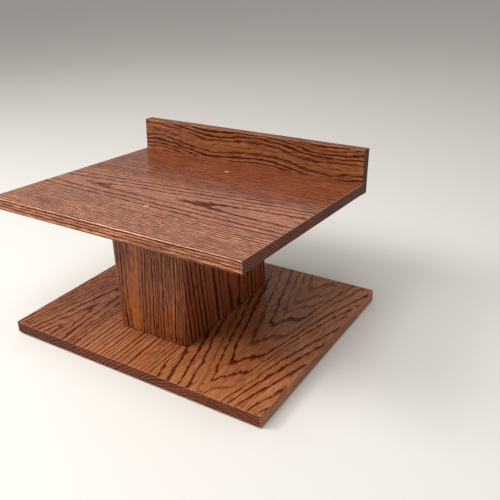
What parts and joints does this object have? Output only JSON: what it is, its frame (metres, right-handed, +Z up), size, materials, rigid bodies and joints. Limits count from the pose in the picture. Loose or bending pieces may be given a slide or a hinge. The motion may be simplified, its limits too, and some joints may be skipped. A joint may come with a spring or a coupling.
{
  "type": "turntable display stand",
  "caption": "Revolving wooden display stand: a sloped top with a back stop lip on a box pedestal that turns on a flat base board.",
  "frame": {"origin": "on the floor, under the middle of the base board's rectangle", "axes": "+Z up; +X along the long front edge to the right; +Y from the open front edge to the back, where the stop lip stands"},
  "size_m": [0.482, 0.394, 0.2841],
  "materials": {
    "oak_base": "stained oak, satin clear coat",
    "oak_top": "stained oak, satin clear coat",
    "oak_pedestal": "stained oak, satin clear coat",
    "oak_lip": "stained oak, satin clear coat",
    "oak_inside": "bare sanded oak",
    "felt": "pressed felt",
    "zinc_steel": "zinc plated",
    "ball_steel": "polished steel",
    "top_screw_metal": "pale plated screw heads"
  },
  "bodies": {
    "base": {"base_board_left": "oak_base", "base_board_middle": "oak_base", "base_board_right": "oak_base", "felt_pads": "felt", "swivel_lower_plate": "zinc_steel", "swivel_lower_screws": "zinc_steel", "swivel_eyelet": "zinc_steel"},
    "ball_ring": {"swivel_balls": "ball_steel"},
    "turntable": {"swivel_upper_plate": "zinc_steel", "swivel_upper_screws": "zinc_steel", "pedestal_front": "oak_pedestal", "pedestal_right": "oak_pedestal", "pedestal_back": "oak_pedestal", "pedestal_left": "oak_pedestal", "pedestal_foot_board": "oak_inside", "corner_block_front_left": "oak_inside", "corner_block_back_left": "oak_inside", "corner_block_front_right": "oak_inside", "corner_block_back_right": "oak_inside", "top_cleat_front": "oak_inside", "top_cleat_back": "oak_inside", "top_board_front": "oak_top", "top_board_middle": "oak_top", "top_board_back": "oak_top", "top_screws": "top_screw_metal", "back_lip": "oak_lip", "lip_screws": "zinc_steel", "lip_plugs": "oak_lip"}
  },
  "joints": [
    {"name": "swivel", "type": "hinge", "parent": "base", "child": "turntable", "pos_m": [-0.01, 0.006, 0.026], "axis": [0, 0, 1], "continuous": true},
    {"name": "ball_roll", "type": "hinge", "parent": "base", "child": "ball_ring", "pos_m": [-0.01, 0.006, 0.026], "axis": [0, 0, 1], "continuous": true}
  ],
  "couplings": [
    {"joint": "ball_roll", "follows": "swivel", "ratio": 0.5}
  ]
}
